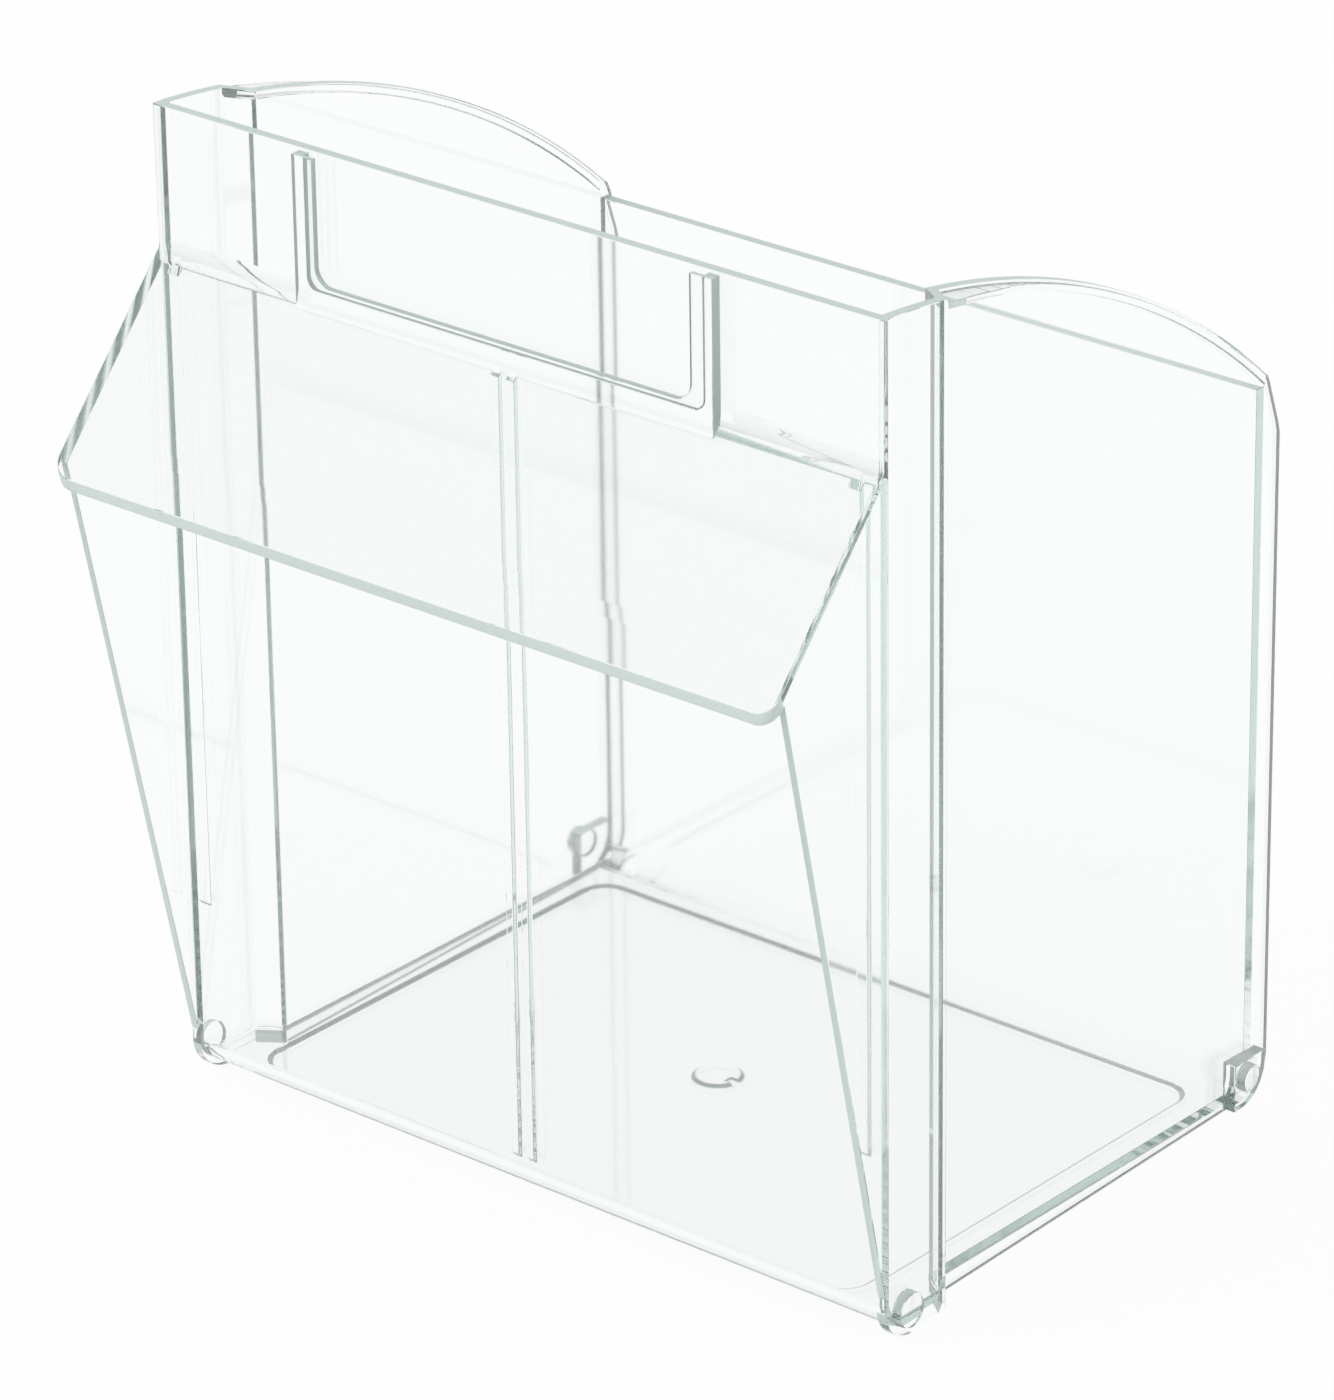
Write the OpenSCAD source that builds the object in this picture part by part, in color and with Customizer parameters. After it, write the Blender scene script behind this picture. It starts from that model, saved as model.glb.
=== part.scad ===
// Clear cup of a tip-out storage bin. Millimetres.
// The front panel faces -Y, +X is to the right as seen from the front, +Z is up.
// The origin is at the middle of the bounding box's bottom.

/* [Cup] */
// Width over the front panel
width = 196; // [170:1:240]
// Height of the front panel's top above the lowest edge
height = 228; // [210:1:260]
// Depth from the front panel's face to the back wall's outer face
depth = 135; // [115:1:155]
// Wall thickness
wall = 2.4; // [2:0.1:2.8]
// Height of the back wall's top above the lowest edge
back_height = 169; // [130:1:170]
// Height of the floor's underside above the lowest edge
floor_gap = 3.2; // [3:0.1:4]

/* [Front corners] */
// Depth of the short walls behind the front panel
return_depth = 20; // [15:1:25]
// How far each side wall is set in from the front panel's end
side_step = 5.7; // [5:0.1:8]
// Depth over which the wall steps in
step_run = 4; // [3:0.1:6]

/* [Pull hood] */
// Height of the hood's root on the front panel
hood_root = 195.8; // [180:0.1:200]
// Height of the hood's lip
lip_height = 155.6; // [135:0.1:165]
// How far the lip stands out from the front panel
hood_reach = 35.2; // [28:0.1:42]
// Thickness of the flap
hood_wall = 2.2; // [1.8:0.1:2.6]

/* [Label frame] */
// Width over the label frame
label_width = 112.8; // [80:0.1:140]

/* [Pins and heels] */
// Diameter of the front pivot pins
pin_d = 8; // [6:0.1:9]
// Length of the front pivot pins
pin_length = 2; // [1.5:0.1:4]
// Diameter of the rear stub pins
rear_pin_d = 6.4; // [4:0.1:8]
// How far the fins stand out behind the back wall
fin_reach = 4.8; // [3:0.1:8]

/* [Hidden] */
$fn = 96;

hx = width / 2;
sx = hx - side_step;
ix = sx - wall;
jx = hx - wall;
y0 = return_depth;
y1 = return_depth + step_run;
// the step's inner face runs parallel to its outer face
step_k = wall * tan(atan2(side_step, step_run) / 2);
yi0 = y0 - step_k;
yi1 = y1 - step_k;
front_y = -(depth + fin_reach - hood_reach) / 2;

// radius of the floor's rounded edges, of the returns' feet, and of the hood lip's corners
bend_r = 6;
bend_z = floor_gap + bend_r;
floor_top = floor_gap + wall;
foot_r = 9;
lip_r = 5;

// the side walls' top edge is one arc that starts at the front panel's top
arc_y = -9.8;
arc_z = 14.3;
arc_r = sqrt(arc_y * arc_y + pow(height - arc_z, 2));
arc_back = arc_z + sqrt(arc_r * arc_r - pow(depth - arc_y, 2));

hood_slope = (hood_root - lip_height) / hood_reach;
hood_angle = atan(hood_slope);
hood_drop = hood_wall / cos(hood_angle);
// length of the flap's underside, which ends below the lip
flap_run = hood_reach / cos(hood_angle) + 2;

// how far the lip's lower edge lies behind its upper edge
lip_lean = 0.54;

// centres of the front and the rear pins
pin_y = 6.5;
pin_z = 7;
rear_pin_y = depth - 7.5;
rear_pin_z = 11;

// the side walls' bottom edges rise from the front returns to the heels
heel_low = 2.8;
heel_top = 14.5;
heel_proud = 3;
heel_r = 9;
// where the heel's outer pad starts and ends, seen from the back wall
pad_front = -10.8;
pad_back = 0.2;

gusset_wall = 1.8;
// distance of the gussets' front corners from the lip
gusset_inset = 4.2;
rib_proud = 1.2;
web_wall = 1.8;
rib_end = 11;
edge_rib_end = 43;

label_proud = 2.5;
card_slot = 1.3;
// side insets of the card and of the window, and their bottoms above the frame's bottom
card_inset = 2.8;
card_rise = 1.4;
window_inset = 5.9;
window_rise = 3.3;

// distance of the floor's sunk panel from the side walls, the front and the back
recess_inset = 9;
recess_front = 7;
recess_back = 12.5;
recess_depth = 0.5;
recess_r = 6;

// body colour of every piece
module clear() color([0.9, 0.95, 0.94, 0.45]) children();

// height of the flap's underside at the distance y in front of the panel (y is negative)
function under_flap(y) = hood_root - hood_drop + y * hood_slope;

// moves the drawing, which has the front face at Y = 0, to the final origin
module place() translate([0, front_y, 0]) children();

// extrudes a drawing of the Y-Z plane from x0 to x1
module along_x(x0, x1) translate([x0, 0, 0]) rotate([90, 0, 90]) linear_extrude(x1 - x0) children();

// extrudes a drawing of the X-Z plane from ya to yb
module along_y(ya, yb) translate([0, yb, 0]) rotate([90, 0, 0]) linear_extrude(yb - ya) children();

module rod_x(x0, x1, y, z, r) translate([x0, y, z]) rotate([0, 90, 0]) cylinder(r = r, h = x1 - x0);

module under_arc(x0, x1, less = 0) rod_x(x0, x1, arc_y, arc_z, arc_r - less);

// rounded rectangle of half-width a and half-height b, centred
module rounded(a, b, r) {
    translate([-a, r - b]) square([2 * a, 2 * b - 2 * r]);
    translate([r - a, -b]) square([2 * a - 2 * r, 2 * b]);
    for (x = [r - a, a - r], y = [r - b, b - r]) translate([x, y]) circle(r = r);
}

// solid between the front and the back face, with rounded bottom edges of radius r
module trough(r, bottom) {
    translate([-hx, bend_r, bottom]) cube([width, depth - 2 * bend_r, bend_z - bottom]);
    intersection() {
        union() {
            rod_x(-hx, hx, bend_r, bend_z, r);
            rod_x(-hx, hx, depth - bend_r, bend_z, r);
        }
        translate([-hx, 0, 0]) cube([width, depth, bend_z]);
    }
}

module floor_panel() clear() place() difference() {
    intersection() {
        difference() {
            trough(bend_r, floor_gap);
            trough(bend_r - wall, floor_top);
        }
        linear_extrude(height) polygon([[-jx, -1], [jx, -1], [jx, yi0], [ix, yi1], [ix, depth + 1],
            [-ix, depth + 1], [-ix, yi1], [-jx, yi0]]);
    }
    // shallow panel sunk into the floor
    translate([0, (depth + recess_front - recess_back) / 2, floor_top - recess_depth]) linear_extrude(1)
        rounded(sx - recess_inset, (depth - recess_front - recess_back) / 2, recess_r);
}

module back_wall() clear() place()
    translate([-ix, depth - wall, bend_z]) cube([2 * ix, wall, back_height - bend_z]);

// side view of all that lies in front of the heel's rounded back, which ends at yb
module heel_outline(yb, low) {
    translate([0, low]) square([yb - heel_r, height]);
    translate([0, low + heel_r]) square([yb, height]);
    translate([yb - heel_r, low + heel_r]) circle(r = heel_r);
}

module side_wall() intersection() {
    linear_extrude(height) polygon([[ix, yi1], [sx, y1], [sx, depth], [ix, depth]]);
    under_arc(ix - 1, sx + 1);
    along_x(ix - 1, sx + 1) {
        heel_outline(depth + fin_reach, heel_low);
        polygon([[0, 0], [y1, 0], [depth + fin_reach - heel_r, heel_low], [depth + fin_reach - heel_r, height], [0, height]]);
    }
}

module front_return() intersection() {
    union() {
        linear_extrude(height) polygon([[jx, wall], [hx, wall], [hx, y0], [sx, y1], [ix, yi1], [jx, yi0]]);
        translate([jx, 0, 0]) cube([wall, wall, bend_z]);
    }
    under_arc(ix - 1, hx + 1);
    union() {
        translate([ix - 1, foot_r, -1]) cube([hx, depth, height + 2]);
        translate([ix - 1, -1, foot_r]) cube([hx, depth, height + 2]);
        rod_x(ix - 1, hx + 1, foot_r, foot_r, foot_r);
    }
}

module front_panel() clear() place() translate([-hx, 0, bend_z]) cube([width, wall, height - bend_z]);

module pull_hood() clear() place() intersection() {
    along_x(-hx, hx) polygon([[0, hood_root], [0, hood_root - hood_drop],
        [lip_lean - hood_reach, under_flap(lip_lean - hood_reach)], [-hood_reach, lip_height]]);
    // rounded corners of the lip, which is cut nearly upright
    translate([0, 0, hood_root]) rotate([hood_angle, 0, 0]) translate([0, 0, -6]) linear_extrude(8) {
        translate([-hx, lip_r - flap_run]) square([width, flap_run]);
        translate([lip_r - hx, -flap_run]) square([width - 2 * lip_r, flap_run]);
        for (x = [lip_r - hx, hx - lip_r]) translate([x, lip_r - flap_run]) circle(r = lip_r);
    }
}

module hood_gusset() along_x(hx - gusset_wall, hx) let (front = gusset_inset - hood_reach)
    polygon([[0, under_flap(0)], [front, under_flap(front)], [-2, rib_end + 3], [0, rib_end]]);

// outline of the label frame as seen from the front, moved in at the sides by inset and at the bottom by rise
module label_outline(inset, rise, top, r) let (half = label_width / 2 - inset, bottom = hood_root + 0.5 + rise) {
    translate([-half, bottom + r]) square([2 * half, top - bottom - r]);
    translate([r - half, bottom]) square([2 * half - 2 * r, top - bottom]);
    for (x = [r - half, half - r]) translate([x, bottom + r]) circle(r = r);
}

module label_frame() clear() place() {
    // the frame's foot, open inside for the card
    along_y(-card_slot, 0) difference() {
        label_outline(0, 0, height - 0.8, 4);
        label_outline(card_inset, card_rise, height + 1, 3);
    }
    // the lip that holds the card
    along_y(-label_proud, -card_slot) difference() {
        label_outline(0, 0, height - 0.8, 4);
        label_outline(window_inset, window_rise, height + 1, 4);
    }
    // the strip that joins the frame's bottom to the hood
    along_x(4 - label_width / 2, label_width / 2 - 4) polygon([[0, hood_root], [0, hood_root + 1],
        [-label_proud, hood_root + 1], [-label_proud, hood_root - label_proud * hood_slope]]);
}

// upright rib on the front panel, centred on x, that ends at the height z0
module rib(x, rib_width, z0) along_x(x - rib_width / 2, x + rib_width / 2)
    polygon([[0, under_flap(0)], [-rib_proud, under_flap(-rib_proud)], [-rib_proud, z0 + rib_proud], [0, z0]]);

module centre_ribs() clear() place() for (x = [-2.1, 2.1]) rib(x, 2, rib_end);

module edge_rib() rib(hx - 6.1, 3, edge_rib_end);

module pivot_pin() rod_x(hx, hx + pin_length, pin_y, pin_z, pin_d / 2);

module rear_fin() along_x(ix, sx) polygon([[depth, heel_top], [depth + fin_reach, heel_top],
    [depth + fin_reach, arc_back - 14], [depth + fin_reach - 0.6, arc_back - 11.6],
    [depth + 0.9, arc_back - 1.6], [depth, arc_back]]);

// part of the heel from xa to xb and from ya to yb
module heel_block(xa, xb, ya, yb) along_x(xa, xb) intersection() {
    heel_outline(yb, heel_low);
    translate([ya, 0]) square([yb - ya, heel_top]);
}

module rear_heel() {
    heel_block(ix, sx, depth, depth + fin_reach);
    heel_block(sx, sx + heel_proud, depth + pad_front, depth + pad_back);
}

module rear_pin() rod_x(sx + heel_proud, sx + heel_proud + pin_length, rear_pin_y, rear_pin_z, rear_pin_d / 2);

module rim_web() difference() {
    intersection() {
        linear_extrude(height) polygon([[hx, y0], [hx - 0.2, y0 + 6], [sx + 3.8, y0 + 20], [sx + 2, y0 + 29],
            [sx + 0.8, y0 + 42], [sx, y0 + 50], [sx, y1]]);
        under_arc(sx - 1, hx + 1);
    }
    under_arc(sx - 2, hx + 2, web_wall);
}

module left_side_wall() clear() place() mirror([1, 0, 0]) side_wall();
module right_side_wall() clear() place() side_wall();
module left_front_return() clear() place() mirror([1, 0, 0]) front_return();
module right_front_return() clear() place() front_return();
module left_hood_gusset() clear() place() mirror([1, 0, 0]) hood_gusset();
module right_hood_gusset() clear() place() hood_gusset();
module left_edge_rib() clear() place() mirror([1, 0, 0]) edge_rib();
module right_edge_rib() clear() place() edge_rib();
module left_pivot_pin() clear() place() mirror([1, 0, 0]) pivot_pin();
module right_pivot_pin() clear() place() pivot_pin();
module left_rear_fin() clear() place() mirror([1, 0, 0]) rear_fin();
module right_rear_fin() clear() place() rear_fin();
module left_rear_heel() clear() place() mirror([1, 0, 0]) rear_heel();
module right_rear_heel() clear() place() rear_heel();
module left_rear_pin() clear() place() mirror([1, 0, 0]) rear_pin();
module right_rear_pin() clear() place() rear_pin();
module left_rim_web() clear() place() mirror([1, 0, 0]) rim_web();
module right_rim_web() clear() place() rim_web();

floor_panel();
back_wall();
left_side_wall();
right_side_wall();
left_front_return();
right_front_return();
front_panel();
pull_hood();
left_hood_gusset();
right_hood_gusset();
label_frame();
centre_ribs();
left_edge_rib();
right_edge_rib();
left_pivot_pin();
right_pivot_pin();
left_rear_fin();
right_rear_fin();
left_rear_heel();
right_rear_heel();
left_rear_pin();
right_rear_pin();
left_rim_web();
right_rim_web();
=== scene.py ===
import math

import bmesh
import bpy
from mathutils import Matrix, Vector


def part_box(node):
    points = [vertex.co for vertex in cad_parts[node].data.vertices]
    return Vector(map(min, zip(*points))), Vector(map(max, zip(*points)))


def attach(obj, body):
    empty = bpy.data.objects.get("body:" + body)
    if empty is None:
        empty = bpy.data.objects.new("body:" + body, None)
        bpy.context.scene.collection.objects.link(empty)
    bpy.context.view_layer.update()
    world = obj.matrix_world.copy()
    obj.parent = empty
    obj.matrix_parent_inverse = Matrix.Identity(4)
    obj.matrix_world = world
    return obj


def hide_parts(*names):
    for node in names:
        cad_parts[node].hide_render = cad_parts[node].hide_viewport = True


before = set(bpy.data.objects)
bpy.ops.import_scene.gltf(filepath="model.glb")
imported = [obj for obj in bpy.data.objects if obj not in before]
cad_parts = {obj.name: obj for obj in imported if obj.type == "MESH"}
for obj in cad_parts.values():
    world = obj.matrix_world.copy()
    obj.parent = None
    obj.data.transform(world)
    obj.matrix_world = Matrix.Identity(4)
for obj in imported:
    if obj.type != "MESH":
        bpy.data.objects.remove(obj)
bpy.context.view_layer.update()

# The cup is one injection moulding in clear polystyrene. Its walls and ribs are shaped one after another
# below as closed solids that run into each other, and fused into a single clear body near the end, because
# a joint between two clear solids would show as a seam that the moulding doesn't have.


# Front panel, floor and back wall: one strip 2.4 mm thick, bent up at both ends of the floor with 6 mm bends.
# The flat front is 196 mm wide and 228 mm high, and the back is plain and lower, to be filled from behind.
# The strip ends within the side walls, which step in behind the front.
MM = 0.001
panel_low, panel_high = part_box("front_panel")
_, back_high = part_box("back_wall")
floor_low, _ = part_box("floor_panel")
_, return_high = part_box("right_front_return")
front_y, back_y, top_z, half_width = panel_low.y, back_high.y, panel_high.z, panel_high.x
wall, inner_half = 2.4 * MM, back_high.x
side_half, strip_inset = inner_half + wall, wall * 0.85
step_y = front_y + 20 * MM
step_run = return_high.y - step_y
bend_radius, bend_steps = 6 * MM, 16
bend_z = floor_low.z + bend_radius


def finished(name, bm):
    """Makes an object of a closed solid, with its doubles merged and its faces turned outwards."""
    bmesh.ops.remove_doubles(bm, verts=bm.verts, dist=0.001 * MM)
    bmesh.ops.recalc_face_normals(bm, faces=bm.faces)
    mesh = bpy.data.meshes.new(name)
    bm.to_mesh(mesh)
    bm.free()
    solid = bpy.data.objects.new(name, mesh)
    bpy.context.scene.collection.objects.link(solid)
    return solid


def side_drawing(bm, x0, x1, points):
    """Adds a solid with the given (y, z) section between x0 and x1."""
    face = bm.faces.new([bm.verts.new((x0, y, z)) for y, z in points])
    drawn = bmesh.ops.extrude_face_region(bm, geom=[face])
    for v in drawn["geom"]:
        if isinstance(v, bmesh.types.BMVert):
            v.co.x = x1


def cut_at(bm, place, normal):
    """Cuts every face of a solid along the plane through a place, so that it can be bent there."""
    bmesh.ops.bisect_plane(bm, geom=bm.verts[:] + bm.edges[:] + bm.faces[:], plane_co=place, plane_no=normal)


def cut_across(bm, places):
    """Cuts every face of a solid at the given places along y."""
    for y in places:
        cut_at(bm, (0, y, 0), (0, 1, 0))


def stepped(y, front, back, lead=0.0):
    """Distance from the middle plane at y: front, a slanted step that may start earlier, and back."""
    share = min(max((y + lead - step_y) / step_run, 0), 1)
    return front + (back - front) * share


def quarter(centre_y, centre_z, radius, start, steps):
    """Points (y, z) of a quarter circle, counted from the start angle upwards."""
    angles = [math.radians(start + 90 * i / steps) for i in range(steps + 1)]
    return [(centre_y + radius * math.cos(a), centre_z + radius * math.sin(a)) for a in angles]


front_bend, back_bend = (front_y + bend_radius, bend_z), (back_y - bend_radius, bend_z)
strip = [(front_y, top_z)]
strip += quarter(*front_bend, bend_radius, 180, bend_steps)
strip += quarter(*back_bend, bend_radius, 270, bend_steps)
strip += [(back_y, back_high.z), (back_y - wall, back_high.z)]
strip += quarter(*back_bend, bend_radius - wall, 270, bend_steps)[::-1]
strip += quarter(*front_bend, bend_radius - wall, 180, bend_steps)[::-1]
strip.append((front_y + wall, top_z))

# It is drawn from x = -1 to x = 1, and each place along y is then scaled to its own half width.
bm = bmesh.new()
side_drawing(bm, -1, 1, strip)
cut_across(bm, (step_y, step_y + step_run))
for v in bm.verts:
    v.co.x *= stepped(v.co.y, half_width, side_half) - strip_inset
solids = [finished("front floor and back", bm)]


# Side walls: each side is one bent wall. It runs back from the front panel, steps in after 20 mm and runs on
# behind the back wall as a narrow fin with a heel. Its top edge follows one arc down from the top of the
# front. Its foot is rounded at the front, and its bottom edge rises a little towards the rounded heel.
_, fin_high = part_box("right_rear_fin")
heel_low, heel_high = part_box("right_rear_heel")
arc_centre_y, arc_centre_z = front_y - 9.8 * MM, 14.3 * MM
arc_start, arc_steps = front_y + wall + 0.8 * MM, 56
arc_radius = math.hypot(arc_start - arc_centre_y, top_z - arc_centre_z)
foot_radius, foot_steps = 9 * MM, 14
heel_radius, heel_steps, heel_foot = 9 * MM, 12, heel_low.z - 0.2 * MM
fin_top = [(4.8 * MM, -14 * MM), (4.2 * MM, -11.6 * MM), (0.9 * MM, -1.6 * MM)]
bend = math.tan(math.atan2(half_width - side_half, step_run) / 2) * wall


def arc_height(y, less=0.0):
    """Height at y of the side walls' arched top edge, or of an arc with a radius that much less."""
    return arc_centre_z + math.sqrt((arc_radius - less) ** 2 - (y - arc_centre_y) ** 2)


side = quarter(front_y + foot_radius, foot_radius, foot_radius, 180, foot_steps)
side.append((step_y + step_run, 0))
side += quarter(fin_high.y - heel_radius, heel_foot + heel_radius, heel_radius, 270, heel_steps)
side += [(back_y + y, fin_high.z + z) for y, z in fin_top]
for i in range(arc_steps + 1):
    y = back_y + (arc_start - back_y) * i / arc_steps
    side.append((y, arc_height(y)))
side.append((front_y, top_z))

# Its inner face is drawn at x = 1 and its outer face at x = 2, and both are then moved to where they belong.
for hand in (-1, 1):
    bm = bmesh.new()
    side_drawing(bm, 1, 2, side)
    cut_across(bm, (step_y - bend, step_y, step_y + step_run - bend, step_y + step_run))
    for v in bm.verts:
        if v.co.x > 1.5:
            v.co.x = hand * stepped(v.co.y, half_width, side_half)
        else:
            v.co.x = hand * stepped(v.co.y, half_width - wall, inner_half, bend)
    solids.append(finished("side wall", bm))


# Floor recess: a rounded field in the middle of the floor lies half a millimetre lower, with a slanted edge
# all round. The block made here is cut out of the floor once the walls are fused.
floor_top = floor_low.z + wall
recess_inset, recess_depth, recess_radius, recess_slant = 9 * MM, 0.5 * MM, 6 * MM, 1.6
recess_front, recess_back = front_y + 7.6 * MM, back_y - 12.5 * MM
overlap = 1 * MM


def block(name, low, high, radius=0, along=2, rounds=lambda middle: True):
    """A block. With a radius, its edges along one axis are rounded where the test passes their middle."""
    bm = bmesh.new()
    bmesh.ops.create_cube(bm, size=1)
    for v in bm.verts:
        v.co = [far if c > 0 else near for c, near, far in zip(v.co, low, high)]
    if radius:
        ends = [(e, e.verts[0].co, e.verts[1].co) for e in bm.edges]
        picked = [e for e, a, b in ends if abs((a - b)[along]) > 0.1 * MM and rounds((a + b) / 2)]
        bmesh.ops.bevel(bm, geom=picked, offset=radius, segments=10, profile=0.5, affect="EDGES", material=-1)
    return finished(name, bm)


recess = block(
    "recess", (-side_half + recess_inset, recess_front, floor_top - recess_depth),
    (side_half - recess_inset, recess_back, floor_top + overlap), recess_radius,
)
for v in recess.data.vertices:
    spread = (v.co.z - floor_top + recess_depth) * recess_slant
    v.co.x += math.copysign(spread, v.co.x)
    v.co.y += math.copysign(spread, v.co.y - (recess_front + recess_back) / 2)


# Gate mark: the clear plastic is injected at the middle of the floor and leaves a flat button there, with a
# small break in its edge where the sprue was torn off. It is fused with the floor after the recess is cut.
gate_x, gate_y, gate_foot = -0.8 * MM, front_y + 65.6 * MM, floor_top - recess_depth
gate_radius, gate_height, gate_sunk = 6.2 * MM, 0.6 * MM, 0.6 * MM
gate_flare, gate_taper = 0.5 * MM, 1.2 * MM
break_low = gate_x + 3.2 * MM, gate_y - 1.6 * MM, gate_foot - 2 * MM
break_high = gate_x + 8 * MM, gate_y + 0.6 * MM, gate_foot + 3 * MM
bm = bmesh.new()
bmesh.ops.create_cone(
    bm, cap_ends=True, segments=48, radius1=gate_radius + gate_flare, radius2=gate_radius - gate_taper,
    depth=gate_height + gate_sunk,
    matrix=Matrix.Translation((gate_x, gate_y, gate_foot + (gate_height - gate_sunk) / 2)),
)
gate = finished("gate mark", bm)
sprue_break = block("sprue break", break_low, break_high)


# Pull hood: a flap that slopes down and out from the front panel over its whole width. The bin is tipped
# open by pulling it. Its front corners are rounded, it swells a little towards the lip, and a small fillet
# on each side of the label frame carries its root on the panel.
hood_low, hood_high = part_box("pull_hood")
label_low, label_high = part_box("label_frame")
hood_wall, hood_sunk, lip_z, lip_radius, lip_cut = 2.2 * MM, 2 * MM, 155.6 * MM, 5 * MM, 1.7 * MM
root = Vector((0, front_y, hood_high.z))
lip = Vector((0, hood_low.y, lip_z))
down_flap = (lip - root).normalized()
under = Vector((0, -down_flap.z, down_flap.y))
inside = root - down_flap * hood_sunk
bm = bmesh.new()
corners = [
    bm.verts.new((x, p.y, p.z))
    for p, x in ((inside, -half_width), (inside, half_width), (lip, half_width), (lip, -half_width))
]
bm.faces.new(corners)
bmesh.ops.bevel(
    bm, geom=corners[2:], offset=lip_radius, segments=8, profile=0.5, affect="VERTICES", material=-1,
)
drawn = bmesh.ops.extrude_face_region(bm, geom=bm.faces[:])
underside = [v for v in drawn["geom"] if isinstance(v, bmesh.types.BMVert)]
bmesh.ops.translate(bm, vec=under * hood_wall + down_flap * lip_cut, verts=underside)

# Each pair of the swelling is a distance from the lip and the thickness that is added there, in mm.
lip_swell = ((15, 0), (12, 0.02), (9, 0.06), (6, 0.13), (-3, 0.35))
for short_of_lip, _ in lip_swell[1:-1]:
    cut_at(bm, lip - down_flap * short_of_lip * MM, down_flap)
for v in bm.verts:
    if (v.co - root).dot(under) > hood_wall / 2:
        short_of_lip = (lip - v.co).dot(down_flap) / MM
        for (far, thin), (near, thick) in zip(lip_swell, lip_swell[1:]):
            if near <= short_of_lip < far:
                v.co += under * (thin + (thick - thin) * (far - short_of_lip) / (far - near)) * MM
                break
solids.append(finished("pull hood", bm))

root_fillet, fillet_steps, fillet_inset = 2.6 * MM, 4, 0.6 * MM
fillet_ends = label_high.x - overlap, half_width - fillet_inset
fillet_top = Vector((front_y, root.z + root_fillet))
fillet_foot = root.yz + down_flap.yz * root_fillet
fillet = [(front_y + overlap, root.z - overlap), (front_y + overlap, root.z + root_fillet)]
for share in (i / fillet_steps for i in range(fillet_steps + 1)):
    p = fillet_top * (1 - share) ** 2 + root.yz * 2 * share * (1 - share) + fillet_foot * share ** 2
    fillet.append((p.x, p.y))
fillet.append(tuple(fillet_foot + under.yz * overlap))
for hand in (-1, 1):
    bm = bmesh.new()
    side_drawing(bm, hand * fillet_ends[0], hand * fillet_ends[1], fillet)
    solids.append(finished("hood root", bm))


# Hood gussets: a thin triangular web under each end of the flap, flush with the cup's side. It carries the
# flap and runs down to the foot of the front panel.
gusset_low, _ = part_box("right_hood_gusset")
gusset_wall, foot_lift = 1.8 * MM, 0.6 * MM


def under_flap(y):
    """Height of the flap's underside at y."""
    return root.z - hood_wall / -down_flap.y + (y - front_y) * (lip.z - root.z) / (lip.y - root.y)


def hung_from_flap(front, corner_z, foot):
    """Section (y, z) of a web under the flap that reaches out to front and slopes in from corner_z to foot."""
    back = front_y + overlap
    return [
        (back, under_flap(back) + overlap), (front, under_flap(front) + overlap), (front, corner_z),
        (front_y, foot), (back, foot),
    ]


gusset = hung_from_flap(gusset_low.y, under_flap(gusset_low.y), gusset_low.z + foot_lift)
for hand in (-1, 1):
    bm = bmesh.new()
    side_drawing(bm, hand * (half_width - gusset_wall), hand * half_width, gusset)
    solids.append(finished("hood gusset", bm))


# Label frame: a low three-sided frame on the front panel above the hood, with its bottom strip run down into
# the hood. Its thin lip reaches over a slot, into which a paper label slides from above.
card_slot, card_inset, card_radius, card_foot = 1.3 * MM, 2.8 * MM, 3 * MM, root.z + 1.9 * MM
window_inset, window_radius, window_foot = 5.9 * MM, 4 * MM, root.z + 3.8 * MM
label_root, past_top = root.z - 3.15 * MM, top_z + 5 * MM
label = block(
    "label frame", (label_low.x, label_low.y, label_root), (label_high.x, front_y + overlap, label_high.z),
)
card = block(
    "card slot", (label_low.x + card_inset, front_y - card_slot, card_foot),
    (label_high.x - card_inset, front_y + 2 * overlap, past_top),
    card_radius, along=1, rounds=lambda middle: middle.z < top_z,
)
window = block(
    "label window", (label_low.x + window_inset, label_low.y - overlap, window_foot),
    (label_high.x - window_inset, front_y - card_slot / 2, past_top),
    window_radius, along=1, rounds=lambda middle: middle.z < top_z,
)


def combine(solid, others, operation):
    """Joins or cuts a solid with others, which are used up."""
    for other in others:
        boolean = solid.modifiers.new(other.name, "BOOLEAN")
        boolean.operation, boolean.solver, boolean.object = operation, "EXACT", other
    made = bpy.data.meshes.new_from_object(solid.evaluated_get(bpy.context.evaluated_depsgraph_get()))
    solid.modifiers.clear()
    solid.data = made
    for other in others:
        bpy.data.objects.remove(other)


combine(label, [card, window], "DIFFERENCE")
solids.append(label)


# Ribs: thin upright ribs on the front panel, two in the middle and one beside each gusset. They end with a
# short slope, the outer ones higher up.
centre_rib_wall = 2 * MM
for name in ("centre_ribs", "left_edge_rib", "right_edge_rib"):
    rib_low, rib_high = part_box(name)
    proud, rib_foot = front_y - rib_low.y, rib_low.z + foot_lift
    rib = hung_from_flap(rib_low.y, rib_foot + proud, rib_foot)
    spans = [(rib_low.x, rib_high.x)]
    if name == "centre_ribs":
        spans = [(rib_low.x, rib_low.x + centre_rib_wall), (rib_high.x - centre_rib_wall, rib_high.x)]
    for x0, x1 in spans:
        bm = bmesh.new()
        side_drawing(bm, x0, x1, rib)
        solids.append(finished(name, bm))


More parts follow.
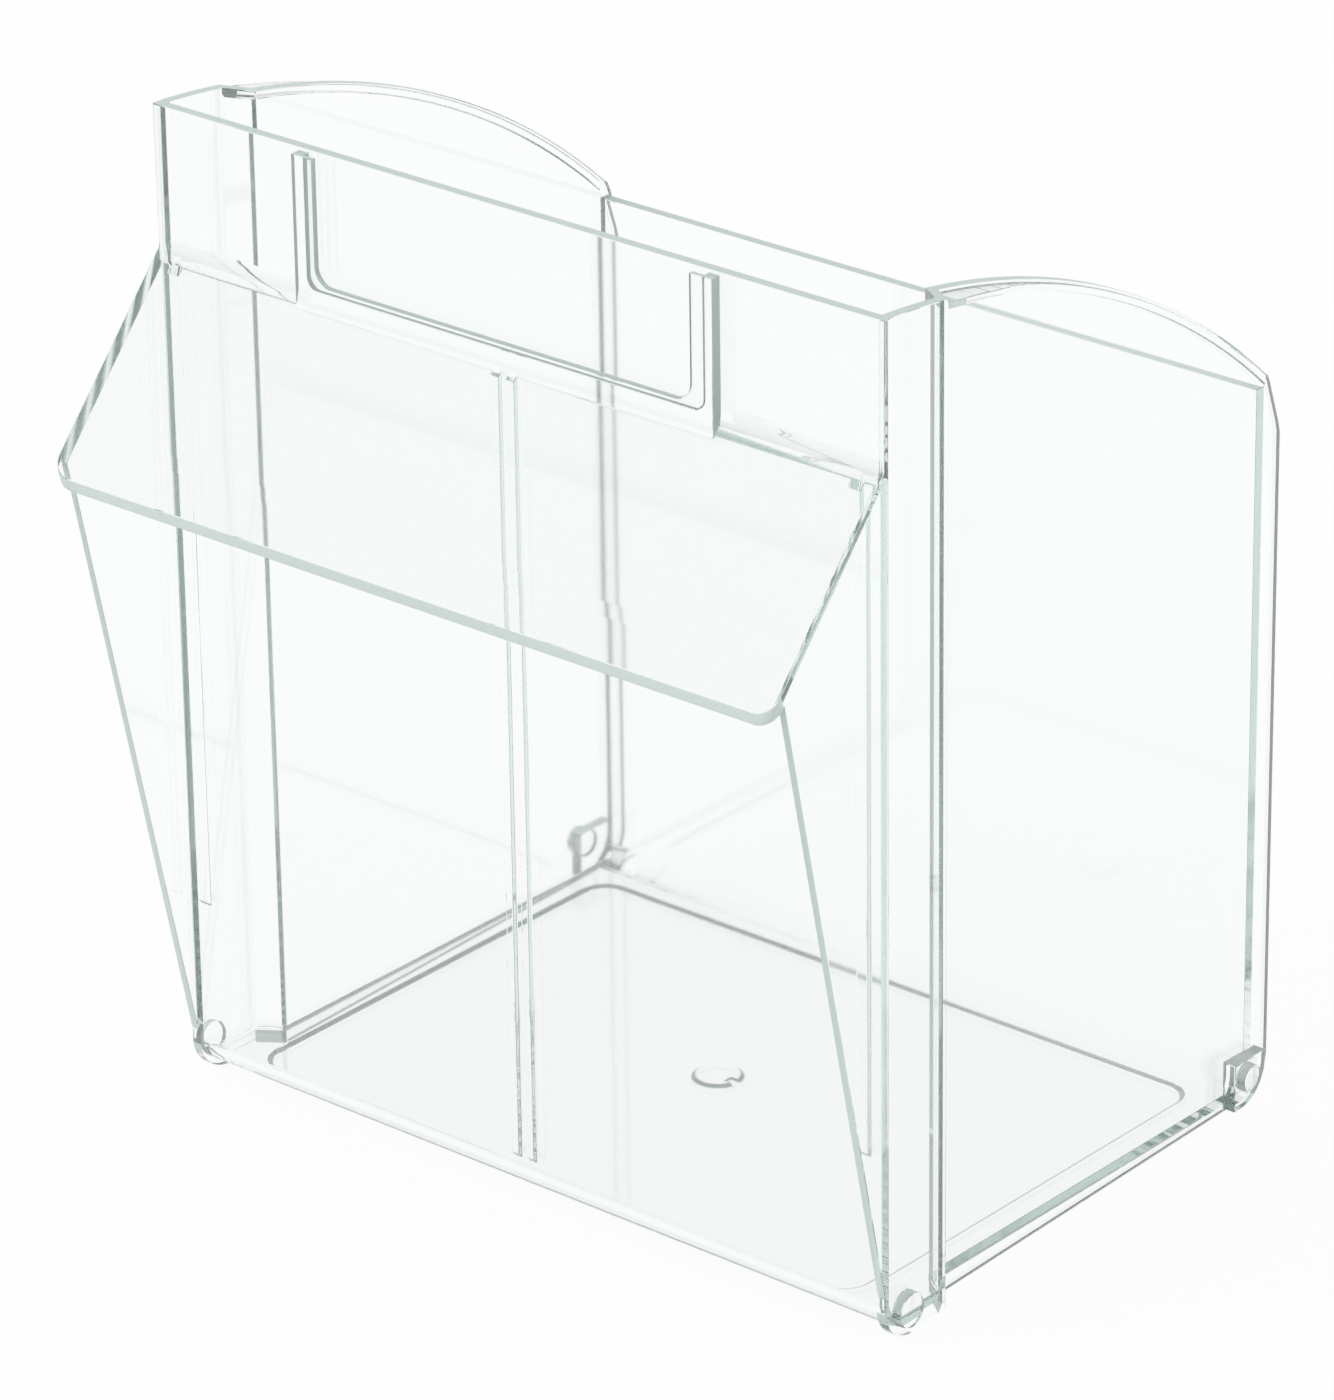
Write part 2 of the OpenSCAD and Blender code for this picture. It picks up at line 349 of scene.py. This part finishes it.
# Pivot pins and rear stubs: short round pins on the outer faces of the feet and of the heels. The cup turns
# on the front pair, and the rear pair meets a stop in the housing. The stubs sit a little further back and
# lower than in the CAD, to keep clear of the heels' small bevels.
stub_shift = Vector((0, 0.5, -0.3)) * MM
for name in ("left_pivot_pin", "right_pivot_pin", "left_rear_pin", "right_rear_pin"):
    pin_low, pin_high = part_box(name)
    middle, radius = (pin_low + pin_high) / 2, (pin_high.z - pin_low.z) / 2
    if "rear" in name:
        middle += stub_shift
    middle += Vector((overlap / 2 if middle.x < 0 else -overlap / 2, 0, 0))
    bm = bmesh.new()
    bmesh.ops.create_cone(
        bm, cap_ends=True, segments=40, radius1=radius, radius2=radius, depth=pin_high.x - pin_low.x + overlap,
        matrix=Matrix.Translation(middle) @ Matrix.Rotation(math.pi / 2, 4, "Y"),
    )
    solids.append(finished(name, bm))


# Rear heels: a pad at the foot of each fin stands 3 mm proud of the side wall. It is rounded where the cup
# swings past the back of its housing.
pad_end, pad_foot = back_y + 0.2 * MM, heel_low.z + 0.4 * MM
for hand in (-1, 1):
    near, far = sorted((hand * (side_half - overlap), hand * heel_high.x))
    pad = block(
        "rear heel", (near, heel_low.y, pad_foot), (far, pad_end, heel_high.z), heel_radius, along=0,
        rounds=lambda middle: middle.z < pad_foot + overlap and middle.y > pad_end - overlap,
    )
    solids.append(pad)


# Rim webs: small level webs outside the side walls, just under the arched edge. Each joins the back corner
# of the return, narrows over 40 mm and runs on as a thin bead along the edge to near the back.
web_wall, web_drop, web_pitch, web_cuts = 1.5 * MM, 0.7 * MM, 5 * MM, 23
web = [
    (half_width, 0), (half_width - 0.2 * MM, 6 * MM), (side_half + 3.8 * MM, 20 * MM),
    (side_half + 2 * MM, 29 * MM), (side_half + 1 * MM, 42 * MM), (side_half + 0.8 * MM, 70 * MM),
    (side_half + 0.7 * MM, 113 * MM), (side_half, 114 * MM), (side_half - overlap, 114 * MM),
    (side_half - overlap, 3 * MM), (half_width - 1.5 * MM, -1.5 * MM),
]
for hand in (-1, 1):
    bm = bmesh.new()
    bm.faces.new([bm.verts.new((hand * x, step_y + y, 0)) for x, y in web])
    cut_across(bm, sorted({step_y + y for x, y in web} | {step_y + web_pitch * i for i in range(web_cuts)}))
    lower = bm.verts[:]
    raised = bmesh.ops.extrude_face_region(bm, geom=bm.faces[:])
    for v in lower:
        v.co.z = arc_height(v.co.y, web_wall + web_drop)
    for v in raised["geom"]:
        if isinstance(v, bmesh.types.BMVert):
            v.co.z = arc_height(v.co.y, web_drop)
    solids.append(finished("rim web", bm))


# The moulding: the solids above become one clear body. Its edges are softened by a small bevel, as an
# injection moulding's are, and its wide faces stay flat so that they don't bend what is seen through them.
# The walls' narrow ends have a duller, darker grey green setting of the same plastic: painted shade that stands
# in for the dark lines that light running inside the clear walls makes at their edges.
moulding = solids.pop(0)
combine(moulding, solids, "UNION")
combine(moulding, [recess], "DIFFERENCE")
combine(gate, [sprue_break], "DIFFERENCE")
combine(moulding, [gate], "UNION")
moulding.name = "clear_cup"


def clear_plastic(name, colour, roughness, transmission):
    """Adds the clear plastic, tinted grey green by its depth, with the given surface."""
    clear = bpy.data.materials.new(name)
    clear.use_nodes = True
    nodes, links = clear.node_tree.nodes, clear.node_tree.links
    plastic = nodes["Principled BSDF"]
    plastic.inputs["Base Color"].default_value = colour
    plastic.inputs["Roughness"].default_value = roughness
    plastic.inputs["IOR"].default_value = 1.59
    plastic.inputs["Transmission Weight"].default_value = transmission
    depth_tint = nodes.new("ShaderNodeVolumeAbsorption")
    depth_tint.inputs["Color"].default_value = (0.76, 0.86, 0.84, 1)
    depth_tint.inputs["Density"].default_value = 9
    links.new(depth_tint.outputs["Volume"], nodes["Material Output"].inputs["Volume"])
    moulding.data.materials.append(clear)


# The materials go on before the faces are sorted, because clearing them resets every face's number.
moulding.data.materials.clear()
clear_plastic("clear polystyrene", (0.985, 0.995, 0.992, 1), 0.03, 1)
# The second setting is painted shade: darker, duller and less clear, it stands in for the darkness that light
# running inside the clear plastic gives its narrow ends.
clear_plastic("clear polystyrene end with painted shade", (0.72, 0.82, 0.8, 1), 0.4, 0.3)

speck, flat_within = 0.02 * MM, math.radians(0.4)
close, strip_width, end_width, bend_length = 0.1 * MM, 3 * MM, 3.5 * MM, 12 * MM
lip_foot, button_reach, root_reach = lip.z - 5 * MM, gate_radius + 2 * MM, root.z - 3 * MM
bm = bmesh.new()
bm.from_mesh(moulding.data)
bmesh.ops.remove_doubles(bm, verts=bm.verts, dist=speck)
bmesh.ops.dissolve_limit(bm, angle_limit=flat_within, verts=bm.verts, edges=bm.edges)
bmesh.ops.dissolve_degenerate(bm, edges=bm.edges, dist=speck)


def edge_turn(edge):
    """Angle between the two faces at an edge, in degrees."""
    return math.degrees(edge.calc_face_angle(0))


def steepest(face):
    """Largest part of a face's normal along one axis, which is 1 on a face that is square to an axis."""
    return max(abs(c) for c in face.normal)


def narrow(face, width=strip_width):
    """Whether a face is a narrow strip, as the faces of a bend are."""
    return face.calc_area() < width * max(e.calc_length() for e in face.edges)


def runs_out(edge):
    """Whether an edge stays sharp: in a front foot, on the gate mark, or at the ends of the hood's root."""
    xs, ys, zs = zip(*(v.co for v in edge.verts))
    foot = all(abs(abs(x) - half_width + wall) < close for x in xs) and max(zs) < bend_z + close
    button = all(math.hypot(x - gate_x, y - gate_y) < button_reach for x, y in zip(xs, ys))
    beside_end = any(all(abs(abs(x) - end) < close for x in xs) for end in fillet_ends)
    return foot or button or (beside_end and min(zs) > root_reach)


def painted_shade_end_face(face):
    """Whether a face is one of the narrow ends of the walls or the slanted edge of the floor recess, which get
    the darker grey green setting as painted shade.
    """
    xs, ys, zs = zip(*(v.co for v in face.verts))
    lowest, highest = min(zs), max(zs)
    faces_front, faces_side = face.normal.y < -0.99, abs(face.normal.x) > 0.9
    on_rim_web = lowest > lip.z and min(map(abs, xs)) > side_half - close and min(ys) > step_y + overlap
    if not narrow(face, end_width) or faces_front or on_rim_web:
        return False
    if floor_low.z - close < lowest and highest < floor_top + close:
        return abs(face.normal.z) < 0.95 and lowest > floor_top - recess_depth - close
    if faces_side:
        return lowest > lip_foot or highest < floor_top + close
    wide_bend = max(xs) - min(xs) > bend_length and steepest(face) < 0.9999
    return not wide_bend or lip_foot < lowest < lip.z


least_bend, most_bend, hard_turn, sharp_turn, edge_bevel = 1, 25, 28, 35, 0.25 * MM
for face in bm.faces:
    face.material_index = 1 if painted_shade_end_face(face) else 0
    curved = any(least_bend < edge_turn(e) < most_bend for e in face.edges)
    face.smooth = steepest(face) <= 0.99999 and narrow(face) and curved
hard = [e for e in bm.edges if edge_turn(e) > hard_turn and not runs_out(e)]
softened = bmesh.ops.bevel(
    bm, geom=hard, offset=edge_bevel, segments=2, profile=0.5, affect="EDGES", material=-1, clamp_overlap=False,
)
for face in softened["faces"]:
    face.smooth = True
for edge in bm.edges:
    edge.smooth = edge_turn(edge) < sharp_turn
bm.to_mesh(moulding.data)
bm.free()

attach(moulding, "root")
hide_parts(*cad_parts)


# Studio: a white floor that runs out of sight, and a white surround. Both are full white where they are seen
# directly, in a reflection or through the clear plastic, and the floor keeps a light shadow.
floor_reach, floor_glow, surround_strength = 12, 0.95, 0.75
bm = bmesh.new()
bmesh.ops.create_grid(bm, x_segments=1, y_segments=1, size=floor_reach)
floor_mesh = bpy.data.meshes.new("studio floor")
bm.to_mesh(floor_mesh)
bm.free()
studio_floor = bpy.data.objects.new("studio_floor", floor_mesh)
bpy.context.scene.collection.objects.link(studio_floor)


def seen_light(nodes, links):
    """A factor that is 1 for light that is seen directly, in a reflection or through the clear plastic."""
    path = nodes.new("ShaderNodeLightPath")
    factor = path.outputs["Is Camera Ray"]
    for ray in ("Is Glossy Ray", "Is Transmission Ray"):
        either = nodes.new("ShaderNodeMath")
        either.operation = "MAXIMUM"
        links.new(factor, either.inputs[0])
        links.new(path.outputs[ray], either.inputs[1])
        factor = either.outputs[0]
    return factor


paper = bpy.data.materials.new("white paper")
paper.use_nodes = True
nodes, links = paper.node_tree.nodes, paper.node_tree.links
matt = nodes["Principled BSDF"]
matt.inputs["Base Color"].default_value = (0.9, 0.9, 0.9, 1)
matt.inputs["Roughness"].default_value = 1
matt.inputs["Specular IOR Level"].default_value = 0
glow = nodes.new("ShaderNodeEmission")
glow_share = nodes.new("ShaderNodeMath")
glow_share.operation = "MULTIPLY"
glow_share.inputs[1].default_value = floor_glow
links.new(seen_light(nodes, links), glow_share.inputs[0])
blend = nodes.new("ShaderNodeMixShader")
links.new(glow_share.outputs[0], blend.inputs["Fac"])
links.new(matt.outputs["BSDF"], blend.inputs[1])
links.new(glow.outputs["Emission"], blend.inputs[2])
links.new(blend.outputs["Shader"], nodes["Material Output"].inputs["Surface"])
floor_mesh.materials.append(paper)

world = bpy.data.worlds.new("studio")
bpy.context.scene.world = world
world.use_nodes = True
nodes, links = world.node_tree.nodes, world.node_tree.links
surround = nodes["Background"]
surround.inputs["Color"].default_value = (1, 1, 1, 1)
surround.inputs["Strength"].default_value = surround_strength
white = nodes.new("ShaderNodeBackground")
white.inputs["Strength"].default_value = 1
blend = nodes.new("ShaderNodeMixShader")
links.new(seen_light(nodes, links), blend.inputs["Fac"])
links.new(surround.outputs["Background"], blend.inputs[1])
links.new(white.outputs["Background"], blend.inputs[2])
links.new(blend.outputs["Shader"], nodes["World Output"].inputs["Surface"])


# Lamps: two large square ones light the floor from both sides and give the cup its light shadow. They are
# hidden from reflections and from light that comes through the plastic.
cup_middle = Vector((0, 0, 0.1))


def soft_lamp(name, place, size, power):
    """A square lamp that faces the middle of the cup."""
    lamp = bpy.data.lights.new(name, "AREA")
    lamp.shape, lamp.size, lamp.energy = "SQUARE", size, power
    holder = bpy.data.objects.new(name, lamp)
    holder.location = place
    holder.rotation_euler = (Vector(place) - cup_middle).to_track_quat("Z", "Y").to_euler()
    holder.visible_glossy = holder.visible_transmission = False
    bpy.context.scene.collection.objects.link(holder)


soft_lamp("key lamp", (-0.9, -1.3, 1.8), 1.2, 14)
soft_lamp("fill lamp", (1.6, -0.6, 1.2), 1.0, 5)


# Camera: a long lens at the photograph's angle, from the right of the front and above. The light paths are
# long, because light runs along the inside of the clear walls many times before it comes out.
lens_pixels, long_side, light_bounces = 7700, 1400, 160
eye_right, eye_ahead, eye_height = 0.9672, 1.0788, 0.7842
view_turn, view_tilt, view_roll = math.radians(40.64), math.radians(24.68), math.radians(-0.8)
camera = bpy.data.cameras.new("camera")
camera.sensor_width = 36
camera.lens = camera.sensor_width * lens_pixels / long_side
eye = bpy.data.objects.new("camera", camera)
eye.location = (eye_right, front_y - eye_ahead, eye_height)
turn = Matrix.Rotation(view_turn, 3, "Z")
tilt = Matrix.Rotation(math.pi / 2 - view_tilt, 3, "X")
roll = Matrix.Rotation(view_roll, 3, "Z")
eye.rotation_euler = (turn @ tilt @ roll).to_euler()
scene = bpy.context.scene
scene.collection.objects.link(eye)
scene.camera = eye
scene.view_settings.view_transform = "Standard"
scene.cycles.max_bounces = light_bounces
scene.cycles.glossy_bounces = light_bounces
scene.cycles.transmission_bounces = light_bounces
